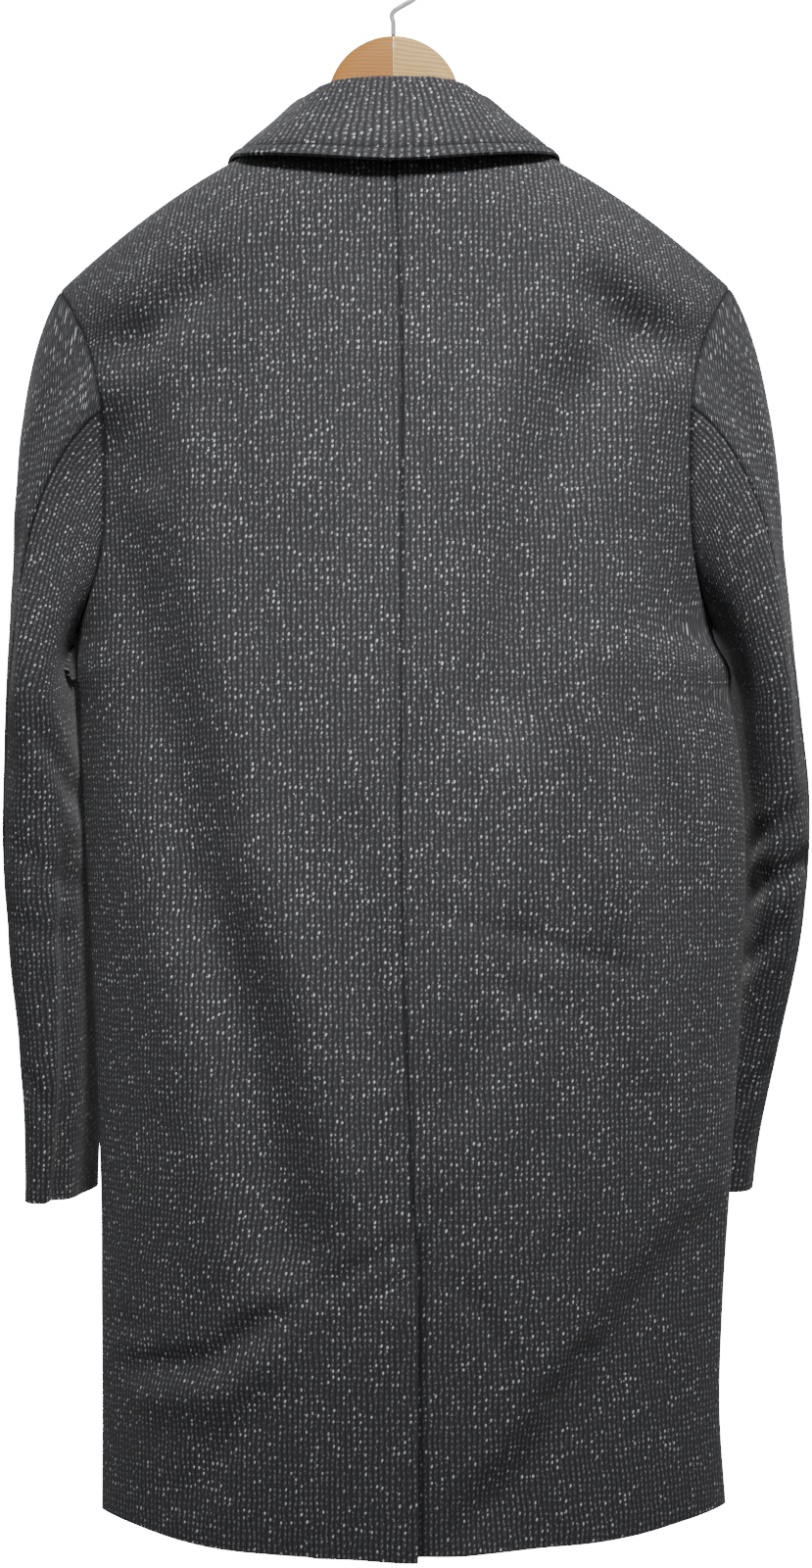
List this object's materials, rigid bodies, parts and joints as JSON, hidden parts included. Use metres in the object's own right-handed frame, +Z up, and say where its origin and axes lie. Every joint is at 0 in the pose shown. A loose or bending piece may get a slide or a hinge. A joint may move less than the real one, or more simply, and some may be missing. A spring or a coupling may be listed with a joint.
{
  "type": "wool overcoat on a wooden coat hanger",
  "caption": "Men's notched-collar wool overcoat, buttoned and hanging on a contoured wooden hanger, with set-in two-piece sleeves and a centre back vent.",
  "frame": {"origin": "the point inside the hanger's hook that rests on the rail", "axes": "+Z up, -Y out of the coat's front, +X towards the wearer's left"},
  "size_m": [0.5806, 0.2721, 1.1178],
  "materials": {
    "wool": "charcoal tweed with light flecks",
    "horn": "polished dark horn",
    "wood": "clear lacquer",
    "metal": "polished"
  },
  "bodies": {
    "root": {"back_left": "wool", "back_right": "wool", "front_left": "wool", "front_right": "wool", "lapel_left": "wool", "lapel_right": "wool", "collar": "wool", "sleeve_left_top": "wool", "sleeve_left_under": "wool", "sleeve_right_top": "wool", "sleeve_right_under": "wool", "button_1": "horn", "button_2": "horn", "button_3": "horn", "hanger_left": "wood", "hanger_right": "wood", "hook": "metal"}
  },
  "joints": []
}
